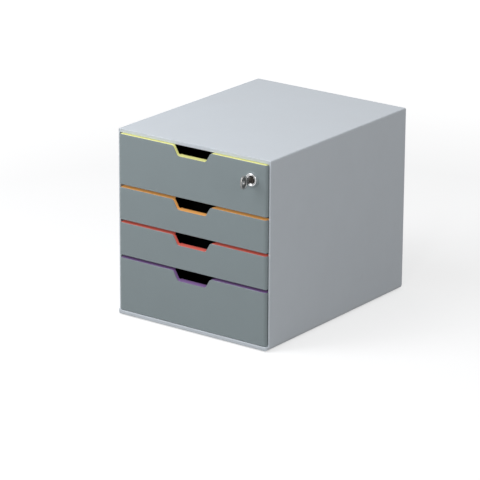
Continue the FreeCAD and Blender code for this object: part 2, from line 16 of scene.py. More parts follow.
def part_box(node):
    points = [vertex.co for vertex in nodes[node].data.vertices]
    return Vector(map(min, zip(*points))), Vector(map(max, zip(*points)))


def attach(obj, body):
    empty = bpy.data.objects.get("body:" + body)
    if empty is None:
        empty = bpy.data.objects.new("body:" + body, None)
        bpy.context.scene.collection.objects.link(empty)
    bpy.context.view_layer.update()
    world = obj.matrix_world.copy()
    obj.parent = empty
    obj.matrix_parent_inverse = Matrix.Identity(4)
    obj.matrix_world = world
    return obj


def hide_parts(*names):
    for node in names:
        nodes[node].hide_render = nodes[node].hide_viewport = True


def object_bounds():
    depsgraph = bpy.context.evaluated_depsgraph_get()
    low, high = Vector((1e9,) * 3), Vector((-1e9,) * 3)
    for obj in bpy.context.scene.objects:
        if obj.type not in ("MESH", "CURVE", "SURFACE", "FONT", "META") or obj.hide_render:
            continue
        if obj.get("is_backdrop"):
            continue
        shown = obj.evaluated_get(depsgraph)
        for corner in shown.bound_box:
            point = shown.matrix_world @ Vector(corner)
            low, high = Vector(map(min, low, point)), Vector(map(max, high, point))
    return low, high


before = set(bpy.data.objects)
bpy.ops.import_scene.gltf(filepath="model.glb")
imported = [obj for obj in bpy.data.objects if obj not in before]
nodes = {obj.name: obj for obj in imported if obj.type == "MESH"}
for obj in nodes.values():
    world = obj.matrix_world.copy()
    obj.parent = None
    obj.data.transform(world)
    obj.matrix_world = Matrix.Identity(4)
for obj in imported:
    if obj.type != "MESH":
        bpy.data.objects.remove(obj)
solid_low, solid_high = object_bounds()
MM = 0.001
DRAWERS = ("bottom", "lower", "upper", "top")
print("pieces", len(nodes), "box in mm", [round(v / MM, 1) for v in (solid_high - solid_low)])

# %% [markdown]
# ## Writing shader maths as plain sums
# A finish is a small program: it takes a place on the surface and works out a colour, a roughness
# and a relief. Blender draws that program as nodes and wires. They could be placed by hand, one by
# one, but long chains are hard to read back. So a value on its way through the finish is wrapped in
# one small class, and adding or multiplying such values adds the Math nodes by itself.

# %% A value that flows through a finish
class Flow:
    """A number, colour or direction on its way through a finish."""

    def __init__(self, wiring, socket):
        self.wiring = wiring
        self.socket = socket

    def math(self, operation, *values):
        settings = {"operation": operation}
        return self.wiring.node("ShaderNodeMath", settings, dict(enumerate(values)))

    def __add__(self, other):
        return self.math("ADD", self, other)

    def __radd__(self, other):
        return self.math("ADD", other, self)

    def __sub__(self, other):
        return self.math("SUBTRACT", self, other)

    def __rsub__(self, other):
        return self.math("SUBTRACT", other, self)

    def __mul__(self, other):
        return self.math("MULTIPLY", self, other)

    def __rmul__(self, other):
        return self.math("MULTIPLY", other, self)

    def __truediv__(self, other):
        return self.math("DIVIDE", self, other)

    def __rtruediv__(self, other):
        return self.math("DIVIDE", other, self)

    def __pow__(self, other):
        return self.math("POWER", self, other)

    def smaller(self, other):
        return self.math("MINIMUM", self, other)

    def larger(self, other):
        return self.math("MAXIMUM", self, other)

    def size(self):
        return self.math("ABSOLUTE", self)

    def held(self):
        """The value kept between nought and one."""
        return self.smaller(1.0).larger(0.0)

# %% [markdown]
# ## The one way to add a node
# A finish is a tree of nodes, and so is the light that comes from all round. In Blender's editor a
# node is added, then its menus are set, then its sockets are filled or wired. `node` does the three in
# that order, because a menu can change which sockets there are. `seen` tells apart what a picture
# shows, straight or in a mirror or a glass, from the light that only bounces about.

# %% The wiring of a node tree
class Wiring:
    """A node tree and the one way to add a node to it."""

    def __init__(self, tree):
        self.tree = tree

    def node(self, kind, settings=None, inputs=None, output=0):
        made = self.tree.nodes.new(kind)
        for name, value in (settings or {}).items():
            setattr(made, name, value)
        for name, value in (inputs or {}).items():
            if isinstance(value, Flow):
                self.tree.links.new(value.socket, made.inputs[name])
            else:
                made.inputs[name].default_value = value
        return Flow(self, made.outputs[output])

    def seen(self):
        """One for a ray from the camera, a mirror or a glass, and nought for one that bounces."""
        rays = self.node("ShaderNodeLightPath").socket.node.outputs
        camera, mirror, glass = [Flow(self, rays[name]) for name in
                                 ("Is Camera Ray", "Is Glossy Ray", "Is Transmission Ray")]
        return camera.larger(mirror).larger(glass)

    def end(self, output, shader):
        self.tree.links.new(shader.socket, output.inputs["Surface"])

# %% [markdown]
# ## A finish
# Every finish here ends in a Principled shader, which stands for most real materials. What is the same
# all over goes straight on its sockets, and only what varies over the surface is wired. That keeps the
# finish easy to read, and other programs can read it too.

# %% The finish class
# The Mix node keeps a set of sockets for each kind of data. These are the numbers of its colour ones.
MIX_FACTOR, MIX_A, MIX_B, MIX_RESULT = 0, 6, 7, 2


class Finish(Wiring):
    """A material with a Principled shader and the helpers that feed it."""

    def __init__(self, name, colour, roughness, **even):
        self.material = bpy.data.materials.new(name)
        self.material.use_nodes = True
        super().__init__(self.material.node_tree)
        self.shader = self.tree.nodes["Principled BSDF"]
        self.colour = (*colour, 1.0)
        self.shader.inputs["Base Color"].default_value = self.colour
        self.shader.inputs["Roughness"].default_value = roughness
        for socket, value in even.items():
            self.shader.inputs[socket.replace("_", " ")].default_value = value

    def feed(self, socket, value):
        self.tree.links.new(value.socket, self.shader.inputs[socket])

    def place(self):
        """The spot on the piece, in metres from the origin of the whole object."""
        return self.node("ShaderNodeTexCoord", output="Object")

    def stretched(self, scale):
        """The spot with each axis multiplied by its own number, which stretches a pattern."""
        return self.node("ShaderNodeMapping", None, {"Vector": self.place(), "Scale": scale})

    def axes(self):
        """The three coordinates of the spot as separate values."""
        split = self.node("ShaderNodeSeparateXYZ", None, {"Vector": self.place()})
        outputs = split.socket.node.outputs
        return [Flow(self, outputs[name]) for name in ("X", "Y", "Z")]

    def noise(self, scale, detail=2.0, where=None, roughness=0.5):
        spot = where or self.place()
        inputs = {"Vector": spot, "Scale": scale, "Detail": detail, "Roughness": roughness}
        return self.node("ShaderNodeTexNoise", None, inputs)

    def shade(self, amount):
        """The finish's own colour made lighter or darker: one leaves it as it is."""
        amounts = dict.fromkeys(("Red", "Green", "Blue"), amount)
        grey = self.node("ShaderNodeCombineColor", None, amounts)
        inputs = {MIX_FACTOR: 1.0, MIX_A: self.colour, MIX_B: grey}
        settings = {"data_type": "RGBA", "blend_type": "MULTIPLY"}
        return self.node("ShaderNodeMix", settings, inputs, MIX_RESULT)

    def relief(self, height, depth):
        """Tiny hills and hollows, depth metres high, that only change how light falls."""
        inputs = {"Height": height, "Distance": depth, "Strength": 1.0}
        self.feed("Normal", self.node("ShaderNodeBump", None, inputs))

# %% [markdown]
# ## Where hands and elbows rub
# Plastic gets paler and smoother where it is touched and knocked: on its outer edges. A painter would
# brush that on by hand. Here the piece is nearly a box, so a spot is near an edge when it is near two
# of the box's faces at once. The middle one of its three distances to the faces tells just that.

# %% A mask for the outer edges of a box
def edge_mask(finish, low, high, reach):
    """One on the edges of the box, falling to nought at reach metres from them."""
    gaps = []
    for value, least, most in zip(finish.axes(), low, high):
        gaps.append((value - least).smaller(most - value).size())
    first, second, third = gaps
    middle = first.smaller(second).larger(first.larger(second).smaller(third))
    return (1.0 - middle / reach).held()

# %% [markdown]
# ## Moulded plastic
# The casing, the fronts and the trays are injection moulded. The steel mould is spark-eroded, which
# leaves a fine even grain, and the plastic shrinks a little as it cools, so large flat walls are never
# quite flat. An image of grain could be wrapped on, but it would need unwrapping and would repeat.
# Noise in real millimetres needs neither: one fine layer for the grain, one broad layer for the slow
# waves, and a cloudy layer for handling marks that make the surface a little glossier here and there.

# %% Sizes of the moulded finish
# A noise scale says how many blotches of the noise fit in one metre of the surface.
GRAIN_SCALE, PEEL_SCALE, WAVE_SCALE, CLOUD_SCALE, SCUFF_SCALE = 2600.0, 420.0, 9.0, 14.0, 160.0
NOISE_MIDDLE = 0.5
SOFT_DETAIL, FINE_DETAIL, RICH_DETAIL, CLOUD_BREAKUP = 1.0, 3.0, 4.0, 0.65
CLOUD_SHADE, GRAIN_SHADE = 0.10, 0.06
CLOUD_GLOSS, PEEL_GLOSS, RUBBED_GLOSS = 0.16, 0.06, 0.12
RUBBED_REACH, RUBBED_CURVE = 3.5 * MM, 1.6
SCUFF_CONTRAST, SCUFF_GAP = 2.4, 0.7
GRAIN_HILLS, PEEL_HILLS, WAVE_HILLS = 0.25, 0.45, 6.0
GRAIN_DEPTH = 0.05 * MM
PLASTIC_IOR = 1.5
print("grain in mm", round(1 / GRAIN_SCALE / MM, 2), "waves in mm", round(1 / WAVE_SCALE / MM))

# %% [markdown]
# ## Mixing the layers
# The grain and the clouds shade the colour up and down around its middle. The clouds and the peel do
# the same to the roughness. Where a piece has a box, its rubbed edges are broken up by one more noise,
# because hands never rub an edge evenly. Each layer could be a node group, but plain sums are shorter.

# %% The moulded finish
def moulded(name, colour, roughness, box=None, wear=0.0, grain=1.0, glow=0.0):
    # A glow above nought is painted light: the piece shines in its own colour without a lamp.
    finish = Finish(name, colour, roughness, IOR=PLASTIC_IOR, Emission_Color=(*colour, 1.0),
                    Emission_Strength=glow)
    fine = finish.noise(GRAIN_SCALE, FINE_DETAIL)
    peel = finish.noise(PEEL_SCALE, SOFT_DETAIL)
    waves = finish.noise(WAVE_SCALE, SOFT_DETAIL)
    clouds = finish.noise(CLOUD_SCALE, RICH_DETAIL, roughness=CLOUD_BREAKUP)
    amount = 1.0 + (clouds - NOISE_MIDDLE) * CLOUD_SHADE + (fine - NOISE_MIDDLE) * GRAIN_SHADE
    rough = roughness + (clouds - NOISE_MIDDLE) * CLOUD_GLOSS + (peel - NOISE_MIDDLE) * PEEL_GLOSS
    if box:
        rubbed = edge_mask(finish, box[0], box[1], RUBBED_REACH) ** RUBBED_CURVE
        scuffs = finish.noise(SCUFF_SCALE, RICH_DETAIL) * SCUFF_CONTRAST - SCUFF_GAP
        rubbed = (rubbed * scuffs).held()
        amount = amount + rubbed * wear
        rough = rough - rubbed * RUBBED_GLOSS
    finish.feed("Base Color", finish.shade(amount))
    finish.feed("Roughness", rough)
    hills = fine * GRAIN_HILLS + peel * PEEL_HILLS + waves * WAVE_HILLS
    finish.relief(hills, GRAIN_DEPTH * grain)
    print("finish", name, [round(v, 2) for v in colour])
    return finish.material

# %% [markdown]
# ## Plated steel
# The screws, the nut, the cam and the strike are zinc plated steel, which is dull and faintly blotched.
# In Blender a metal's colour is the colour of its reflection, so the blotches change both the colour
# and the roughness. A photograph of plate could be wrapped on, but on parts this small nobody would see
# the difference from noise of two sizes. The lock and the key get finishes of their own.

# %% The plated finish
BLOTCH_SCALE, SPECK_SCALE = 260.0, 900.0
SPECK_GLOSS, BLOTCH_GLOSS, SPECK_DEPTH = 0.1, 0.1, 0.01 * MM


def plated(name, colour, roughness, blotch):
    finish = Finish(name, colour, roughness, Metallic=1.0)
    blotches = finish.noise(BLOTCH_SCALE, RICH_DETAIL)
    specks = finish.noise(SPECK_SCALE)
    finish.feed("Base Color", finish.shade(1.0 + (blotches - NOISE_MIDDLE) * blotch))
    rough = roughness + (specks - NOISE_MIDDLE) * SPECK_GLOSS + (blotches - NOISE_MIDDLE) * BLOTCH_GLOSS
    finish.feed("Roughness", rough.held())
    finish.relief(specks, SPECK_DEPTH)
    print("finish", name)
    return finish.material

# %% [markdown]
# ## Rubber
# The four feet are soft dark rubber. Rubber is dull, picks up pale dust and has no sharp highlights,
# so a high roughness, a little dust from broad noise and a soft relief are enough.

# %% The rubber finish
DUST_SCALE, DUST_CONTRAST, DUST_GAP = 90.0, 3.0, 1.2
DUST_SHADE, DUST_DULLNESS = 1.5, 0.15
RUBBER_SCALE, RUBBER_DEPTH = 700.0, 0.05 * MM


def rubber(name, colour, roughness):
    finish = Finish(name, colour, roughness)
    dust = (finish.noise(DUST_SCALE, RICH_DETAIL) * DUST_CONTRAST - DUST_GAP).held()
    finish.feed("Base Color", finish.shade(1.0 + dust * DUST_SHADE))
    finish.feed("Roughness", roughness + dust * DUST_DULLNESS)
    finish.relief(finish.noise(RUBBER_SCALE, FINE_DETAIL), RUBBER_DEPTH)
    print("finish", name)
    return finish.material

# %% [markdown]
# ## Putting a finish on a piece
# On the bench each moulding comes out of its mould in its own plastic, so a piece has one material
# all over. Faces could be given materials one by one, but no piece here needs that. The helper below
# empties the piece's list of materials and puts the one finish in it.

# %% Give a piece its finish
def dress(name, material):
    piece = nodes[name]
    piece.data.materials.clear()
    piece.data.materials.append(material)
    return piece

# %% [markdown]
# ## The casing
# Top, sides and back are one moulding in pale grey. The base plate closes it from below, the runner
# frames inside carry the drawers, and four rubber feet keep it from sliding. The wear follows the
# casing's own box, so the mask sits exactly on its outer edges.

# %% Dress the casing
PALE_GREY, BASE_GREY, DARK_GREY = (0.602, 0.646, 0.690), (0.40, 0.41, 0.42), (0.10, 0.10, 0.105)
RUBBER_BLACK = (0.03, 0.03, 0.032)
CASING_ROUGHNESS, BASE_ROUGHNESS, RUNNER_ROUGHNESS, RUBBER_ROUGHNESS = 0.42, 0.5, 0.45, 0.8
CASING_WEAR = 0.12
casing_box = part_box("casing_shell")
dress("casing_shell", moulded("casing plastic", PALE_GREY, CASING_ROUGHNESS, casing_box, CASING_WEAR))
dress("base_plate", moulded("base plastic", BASE_GREY, BASE_ROUGHNESS))
for side in ("left", "right"):
    dress("runner_frame_" + side, moulded("runner plastic " + side, DARK_GREY, RUNNER_ROUGHNESS))
dress("rubber_feet", rubber("foot rubber", RUBBER_BLACK, RUBBER_ROUGHNESS))

# %% [markdown]
# ## The drawers
# Each front is mid grey, a shade darker than the casing. The strip on its top edge is a separate
# moulding in the drawer's own colour: yellow, orange, red and purple from the top down. The photograph
# shows the strips brighter than the light on them explains. More light would also brighten the fronts,
# so the strips get a faint glow in their own colour. The trays are nearly black, so the finger notch
# looks like a dark hole.

# %% Dress the drawers
MID_GREY = (0.243, 0.290, 0.302)
NEAR_BLACK = (0.022, 0.022, 0.024)
STRIP_COLOURS = {
    "top": (0.96, 0.95, 0.38),
    "upper": (0.98, 0.47, 0.14),
    "lower": (0.90, 0.17, 0.13),
    "bottom": (0.33, 0.19, 0.46),
}
# Painted light: each strip glows faintly in its own colour, though it is no lamp.
STRIP_PAINTED_GLOW = {"top": 0.10, "upper": 0.22, "lower": 0.16, "bottom": 0.08}
FRONT_ROUGHNESS, TRAY_ROUGHNESS, STRIP_ROUGHNESS = 0.45, 0.5, 0.38
FRONT_WEAR, STRIP_GRAIN = 0.18, 0.4
for drawer in DRAWERS:
    front_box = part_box(drawer + "_front")
    front_finish = moulded("front plastic " + drawer, MID_GREY, FRONT_ROUGHNESS, front_box, FRONT_WEAR)
    dress(drawer + "_front", front_finish)
    dress(drawer + "_tray", moulded("tray plastic " + drawer, NEAR_BLACK, TRAY_ROUGHNESS))
    strip_finish = moulded("strip plastic " + drawer, STRIP_COLOURS[drawer], STRIP_ROUGHNESS,
                           grain=STRIP_GRAIN, glow=STRIP_PAINTED_GLOW[drawer])
    dress(drawer + "_edge_strip", strip_finish)

# %% [markdown]
# ## Screws and stamped parts
# The screws, the nut, the cam and the strike are made by the thousand and plated in one bath, so they
# look alike. Each could have a finish of its own, but that would only say the same thing many times.
# They share one zinc finish.

# %% Dress the screws and stamped parts
ZINC_GREY, ZINC_ROUGHNESS, ZINC_BLOTCH = (0.62, 0.61, 0.58), 0.36, 0.28
zinc = plated("zinc plate", ZINC_GREY, ZINC_ROUGHNESS, ZINC_BLOTCH)
zinc_pieces = ["base_screws", "frame_screws", "strike_screws", "cam_screw", "lock_cam", "lock_nut",
               "lock_strike"]
zinc_pieces += [drawer + "_front_screws" for drawer in DRAWERS]
for name in zinc_pieces:
    dress(name, zinc)
print("zinc pieces", len(zinc_pieces))

# %% [markdown]
# ## Building a skin from rings of points
# The face ring of the lock and the key are the parts that the eye goes to, so they get their own
# shapes. Both could be sculpted or cut out of blocks. It is simpler to say how a cross-section changes
# on its way: each cross-section is a ring of edges, and Extrude pulls it to the next cross-section and
# leaves a band of faces behind. Bridge Loops would do it too, but it picks its own partner for each
# corner and may twist a band. A row of rings gets a cap at both ends, and a loop of rings closes on
# itself like a doughnut.

# %% Rings and skins
WELD = 0.001 * MM


def edges_round(shape, corners):
    return [shape.edges.get(ends) for ends in zip(corners, corners[1:] + corners[:1])]


def first_ring(shape, points):
    corners = [shape.verts.new(point) for point in points]
    for ends in zip(corners, corners[1:] + corners[:1]):
        shape.edges.new(ends)
    return corners


def pulled(shape, corners, points):
    """Extrude a ring so that each corner goes to its own point, and give the new corners."""
    made = bmesh.ops.extrude_edge_only(shape, edges=edges_round(shape, corners))["geom"]
    fresh = {item for item in made if isinstance(item, bmesh.types.BMVert)}
    moved = []
    for corner, point in zip(corners, points):
        neighbours = [edge.other_vert(corner) for edge in corner.link_edges]
        partner = next(neighbour for neighbour in neighbours if neighbour in fresh)
        partner.co = point
        moved.append(partner)
    return moved


def skin(shape, rings, loop=False):
    """Stretch faces from ring to ring, then close both ends or merge the last ring with the first."""
    first = first_ring(shape, rings[0])
    last = first
    for ring in rings[1:] + (rings[:1] if loop else []):
        last = pulled(shape, last, ring)
    if loop:
        bmesh.ops.remove_doubles(shape, verts=first + last, dist=WELD)
    else:
        for corners in (first, last):
            bmesh.ops.contextual_create(shape, geom=edges_round(shape, corners))

# %% [markdown]
# ## From a shape to a piece
# A bmesh is only a workbench: its faces have to become a mesh, and the mesh an object. Faces that meet
# at a slight angle are shaded smooth, and those that meet at more keep a crisp edge, as pressed and
# turned metal has. A finer piece then takes the place of its construction solid and moves with the
# same body.

# %% Finished pieces
CRISP_FROM = math.radians(32)


def finished(name, shape, material):
    """Turn a shape into a piece of the scene, smooth but for its sharp edges."""
    bmesh.ops.recalc_face_normals(shape, faces=shape.faces)
    mesh = bpy.data.meshes.new(name)
    shape.to_mesh(mesh)
    shape.free()
    mesh.shade_smooth()
    mesh.set_sharp_from_angle(angle=CRISP_FROM)
    mesh.materials.append(material)
    piece = bpy.data.objects.new(name, mesh)
    bpy.context.scene.collection.objects.link(piece)
    print("piece", name, "faces", len(mesh.polygons))
    return piece


def stand_in(piece, node, body):
    """Put a finer piece in the place of a construction node, on the same moving body."""
    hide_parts(node)
    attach(piece, body)

# %% [markdown]
# ## The barrel of the lock
# A cam lock is a threaded barrel with a face ring, pushed through the panel from outside and held by
# a nut behind. It is turned on a lathe, so its profile is spun round its axis here too. The face has
# a raised bead, a narrow groove and a dish that slopes in to the plug. The thread is
# a row of grooves, because its slope is too slight to see.

# %% Spin a profile
LATHE_STEPS = 72


def turned(name, centre, profile, material):
    """Spin a closed profile of (radius, depth) points round a line along the Y axis."""
    shape = bmesh.new()
    points = [shape.verts.new((centre.x + radius * MM, centre.y + depth * MM, centre.z))
              for radius, depth in profile]
    edges = [shape.edges.new(ends) for ends in zip(points, points[1:] + points[:1])]
    bmesh.ops.spin(shape, geom=points + edges, cent=centre, axis=(0, 1, 0), angle=2 * math.pi,
                   steps=LATHE_STEPS, use_merge=True)
    return finished(name, shape, material)

# %% [markdown]
# ## Turned metal
# A lathe tool leaves fine rings round the axis. Rings could be modelled, but they are finer than a
# hair. A wave along the distance from the axis makes them as relief. A band between two distances is
# made darker and rougher: over the face ring's groove, and on the plug's rim as painted shade of its gap.

# %% The turned metal finish
GROOVE_EDGE = 0.12
MARK_WAVE = {"Scale": 2.4, "Distortion": 1.2, "Detail": 2.0}
MARK_DEPTH = 0.006 * MM
SMUDGE_SCALE, SMUDGE_SHADE, SMUDGE_GLOSS, BAND_ROUGHNESS = 380.0, 0.24, 0.16, 0.3
WAVE_FACTOR = 1


def turned_metal(name, colour, roughness, centre, dark_from, dark_to, darkness):
    """Turned metal with rings of tool marks and a darker, rougher band between two radii in millimetres."""
    finish = Finish(name, colour, roughness, Metallic=1.0)
    across, _, rise = finish.axes()
    radius = ((across - centre.x) ** 2 + (rise - centre.z) ** 2) ** 0.5 / MM
    groove = ((radius - dark_from) / GROOVE_EDGE).held() * ((dark_to - radius) / GROOVE_EDGE).held()
    inputs = {"Vector": finish.node("ShaderNodeCombineXYZ", None, {"X": radius}), **MARK_WAVE}
    settings = {"wave_type": "RINGS", "rings_direction": "SPHERICAL"}
    marks = finish.node("ShaderNodeTexWave", settings, inputs, WAVE_FACTOR)
    smudge = finish.noise(SMUDGE_SCALE, FINE_DETAIL) - NOISE_MIDDLE
    # The band is darkened: on the plug's rim this is painted shade of the gap round it.
    finish.feed("Base Color", finish.shade((1.0 + smudge * SMUDGE_SHADE) * (1.0 - groove * darkness)))
    finish.feed("Roughness", (roughness + smudge * SMUDGE_GLOSS + groove * BAND_ROUGHNESS).held())
    finish.relief(marks, MARK_DEPTH)
    print("finish", name)
    return finish.material

# %% [markdown]
# ## The profile of the barrel
# The solid of the housing says where the lock's axis is, how wide its ring is and how long the barrel
# is. The rest of the profile is drawn here, from the ring's outer edge over the face into the bore, and
# then back along the thread. Each point is a radius and a depth behind the face, in millimetres.

# %% Draw the profile
ring_low, ring_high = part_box("lock_housing")
lock_axis = Vector(((ring_low.x + ring_high.x) / 2, ring_low.y, (ring_low.z + ring_high.z) / 2))
RING_RADIUS = (ring_high.x - ring_low.x) / 2 / MM
BARREL_LENGTH = (ring_high.y - ring_low.y) / MM
BARREL_RADIUS, BORE_RADIUS, RING_THICK = 8.0, 5.5, 2.2
THREAD_PITCH, THREAD_DEPTH, THREAD_TURNS = 1.0, 0.35, 11
PLAIN_END, END_BEVEL = 0.6, 0.5
outer_edge = [(RING_RADIUS, RING_THICK), (RING_RADIUS, 1.1)]
bead = [(9.62, 0.6), (9.3, 0.22), (8.85, 0.04), (8.5, 0.0), (8.15, 0.1), (7.9, 0.34)]
face_groove = [(7.8, 0.75), (7.5, 0.75)]
dish = [(7.4, 0.42), (7.2, 0.3), (6.8, 0.36), (6.3, 0.66), (5.8, 1.02), (BORE_RADIUS, 1.3)]
far_end = [(BORE_RADIUS, BARREL_LENGTH), (BARREL_RADIUS - END_BEVEL, BARREL_LENGTH)]
thread = []
for turn in range(THREAD_TURNS):
    start = BARREL_LENGTH - PLAIN_END - turn * THREAD_PITCH
    thread += [(BARREL_RADIUS, start), (BARREL_RADIUS - THREAD_DEPTH, start - THREAD_PITCH / 2)]
thread_end = BARREL_LENGTH - PLAIN_END - THREAD_TURNS * THREAD_PITCH
root = [(BARREL_RADIUS, thread_end), (BARREL_RADIUS, RING_THICK)]
barrel_profile = outer_edge + bead + face_groove + dish + far_end + thread + root
print("barrel profile", len(barrel_profile), "points, ring radius", round(RING_RADIUS, 2))

# %% [markdown]
# ## Barrel and plug
# The plug in the middle is dull dark metal. The construction's own solid already has its shape, so it
# stays. A real plug has no knife edges, so a Bevel modifier rounds them by a fifth of a millimetre.
# Modelling the plug anew would give the same look with more work.

# %% Turn the barrel and dress the plug
# The face ring's groove band is made darker. The plug's outer rim is darkened as painted shade of the gap
# between plug and barrel.
CHROME_GREY, CHROME_ROUGHNESS, GROOVE_BAND, GROOVE_DARKENING = (0.62, 0.625, 0.63), 0.12, (7.35, 7.95), 0.85
PLUG_BROWN, PLUG_ROUGHNESS, GAP_BAND, GAP_PAINTED_SHADE = (0.15, 0.135, 0.125), 0.3, (4.9, 6.0), 0.8
PLUG_ROUNDING, ROUNDING_SEGMENTS = 0.22 * MM, 2
chrome = turned_metal("chrome", CHROME_GREY, CHROME_ROUGHNESS, lock_axis, *GROOVE_BAND, GROOVE_DARKENING)
barrel = turned("lock_barrel", lock_axis, barrel_profile, chrome)
stand_in(barrel, "lock_housing", "top_drawer")
plug_metal = turned_metal("plug metal", PLUG_BROWN, PLUG_ROUGHNESS, lock_axis, *GAP_BAND, GAP_PAINTED_SHADE)
plug = dress("lock_plug", plug_metal)
softened = plug.modifiers.new("rounded edges", "BEVEL")
softened.width = PLUG_ROUNDING
softened.segments = ROUNDING_SEGMENTS
softened.limit_method = "ANGLE"
print("plug edges rounded by", round(PLUG_ROUNDING / MM, 2), "mm")

# %% [markdown]
# ## The key
# The key is stamped out of a strip of brass and nickel plated. Its bow, the part that the fingers
# hold, has a pressed rim and a round hole for a key ring. The blade has a milled groove on each side
# and cuts of different depth along the top. The bow is a doughnut of rings from its hole to its
# outline and back, and the blade is a row of cross-sections whose top dips at each cut.

# %% Sizes of the bow
key_low, key_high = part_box("key")
key_middle = (key_low + key_high) / 2
KEY_HALF = (key_high.x - key_low.x) / 2
BOW_LONG, BOW_HIGH, BOW_SQUARENESS = 15.0 * MM, key_high.z - key_low.z, 2.4
HOLE_INSET, HOLE_RADIUS = 5.0 * MM, 2.3 * MM
BOW_STEPS = 48
# Each pair is a ring of the bow: how far it lies on the way from the hole to the outline, and how
# thick the bow is there. Both are shares of the whole.
HOLE_LIP = ((0.0, 0.72), (0.05, 0.86), (0.12, 0.86))
PRESSED_FIELD = ((0.17, 0.55), (0.70, 0.55))
BOW_RIM = ((0.77, 0.97), (0.83, 1.0), (0.94, 1.0), (1.0, 0.66))
bow_sections = HOLE_LIP + PRESSED_FIELD + BOW_RIM
print("key in mm", [round(v / MM, 1) for v in key_high - key_low], "bow", round(BOW_LONG / MM, 1))

# %% [markdown]
# ## The rings of the bow
# The outline of the bow is an oval with full corners. A circle squeezed to an oval would look too
# pointed, so the sine and the cosine are raised to a power below one, which fills the corners out.
# Every ring of the bow lies between the round hole and this outline.

# %% Rings between the hole and the outline
def bow_outline(angle):
    """A point of the bow's outline as seen from the side."""
    flat = 2 / BOW_SQUARENESS
    along = math.copysign(abs(math.cos(angle)) ** flat, math.cos(angle))
    rise = math.copysign(abs(math.sin(angle)) ** flat, math.sin(angle))
    middle = Vector((key_middle.x, key_low.y + BOW_LONG / 2, key_middle.z))
    return middle + Vector((0, along * BOW_LONG / 2, rise * BOW_HIGH / 2))


def bow_ring(share, thickness):
    """The ring at a share of the way from the hole to the outline, lifted off the middle plane."""
    hole = Vector((key_middle.x, key_low.y + HOLE_INSET, key_middle.z))
    ring = []
    for step in range(BOW_STEPS):
        angle = 2 * math.pi * step / BOW_STEPS
        inner = hole + HOLE_RADIUS * Vector((0, math.cos(angle), math.sin(angle)))
        ring.append(inner.lerp(bow_outline(angle), share) + Vector((thickness * KEY_HALF, 0, 0)))
    return ring

# %% [markdown]
# ## The neck and the blade
# A key maker mills a groove along each side of the blank, so that it fits only its own kind of lock,
# and then cuts the top edge to the code of one lock. The neck joins the blade to the bow and stops
# just short of the plug. Both are the same grooved cross-section, set up at one station after another.
# The code here is made up.

# %% Sizes of the neck and the blade
NECK_HIGH, BLADE_HIGH, BLADE_HALF = 9.6 * MM, 7.8 * MM, 1.0 * MM
GROOVE_DEEP, GROOVE_LEAN, GROOVE_WIDE = 0.42 * MM, 0.25 * MM, 1.3 * MM
RIGHT_GROOVE_DROP, LEFT_GROOVE_DROP = 2.0 * MM, 0.3 * MM
BOW_OVERLAP, PLUG_GAP = 2.5 * MM, 0.2 * MM
neck_from = key_low.y + BOW_LONG - BOW_OVERLAP
neck_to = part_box("lock_plug")[0].y - PLUG_GAP
NECK_EASE_IN, NECK_EASE_OUT = 1.0 * MM, 0.4 * MM
NECK_START_THIN, NECK_START_TALL, NECK_END_THIN, NECK_END_TALL = 0.8, 0.86, 0.85, 0.94
BLADE_ROOT, BLADE_PLAIN = 0.5 * MM, 1.0 * MM
CUTS = ((0.22, 1.6), (0.40, 0.7), (0.58, 1.4), (0.76, 0.5))
CUT_FLAT = 0.3
TIP_LONG, TIP_RISE, TIP_DROP = 1.6 * MM, 0.9 * MM, 1.6 * MM
print("neck", round((neck_to - neck_from) / MM, 1), "mm long")
print("blade", round((key_high.y - neck_to) / MM, 1), "mm long")

# %% [markdown]
# ## Stations along the key
# A cut is a dip with a flat bottom and slopes at 45 degrees on both sides, so each cut needs four
# stations: where the slope starts, both ends of the flat, and where the top is reached again. Each
# entry of CUTS gives the cut's place as a share of the blade and its depth in millimetres.

# %% Cross-sections of the neck and the blade
def blade_section(y, half, low, high):
    """A cross-section of the blade with a milled groove on each side."""
    floor_x = half - GROOVE_DEEP
    right_low, left_low = key_middle.z - RIGHT_GROOVE_DROP, key_middle.z - LEFT_GROOVE_DROP
    right = [(half, low), (half, right_low), (floor_x, right_low + GROOVE_LEAN),
             (floor_x, right_low + GROOVE_WIDE - GROOVE_LEAN), (half, right_low + GROOVE_WIDE),
             (half, high)]
    left = [(-half, high), (-half, left_low + GROOVE_WIDE),
            (-floor_x, left_low + GROOVE_WIDE - GROOVE_LEAN), (-floor_x, left_low + GROOVE_LEAN),
            (-half, left_low), (-half, low)]
    return [(key_middle.x + x, y, z) for x, z in right + left]


def neck_sections():
    stations = [(neck_from, NECK_START_THIN, NECK_START_TALL), (neck_from + NECK_EASE_IN, 1.0, 1.0),
                (neck_to - NECK_EASE_OUT, 1.0, 1.0), (neck_to, NECK_END_THIN, NECK_END_TALL)]
    sections = []
    for y, thin, tall in stations:
        low, high = key_middle.z - NECK_HIGH / 2 * tall, key_middle.z + NECK_HIGH / 2 * tall
        sections.append(blade_section(y, KEY_HALF * thin, low, high))
    return sections


def blade_sections():
    low, high = key_middle.z - BLADE_HIGH / 2, key_middle.z + BLADE_HIGH / 2
    stations = [(neck_to - BLADE_ROOT, low, high), (neck_to + BLADE_PLAIN, low, high)]
    for share, depth in CUTS:
        cut = neck_to + share * (key_high.y - neck_to)
        dip = high - depth * MM
        stations += [(cut - (CUT_FLAT + depth) * MM, low, high), (cut - CUT_FLAT * MM, low, dip),
                     (cut + CUT_FLAT * MM, low, dip), (cut + (CUT_FLAT + depth) * MM, low, high)]
    stations = sorted(stations)
    stations += [(key_high.y - TIP_LONG, low, high), (key_high.y, low + TIP_RISE, high - TIP_DROP)]
    return [blade_section(y, BLADE_HALF, bottom, top) for y, bottom, top in stations]
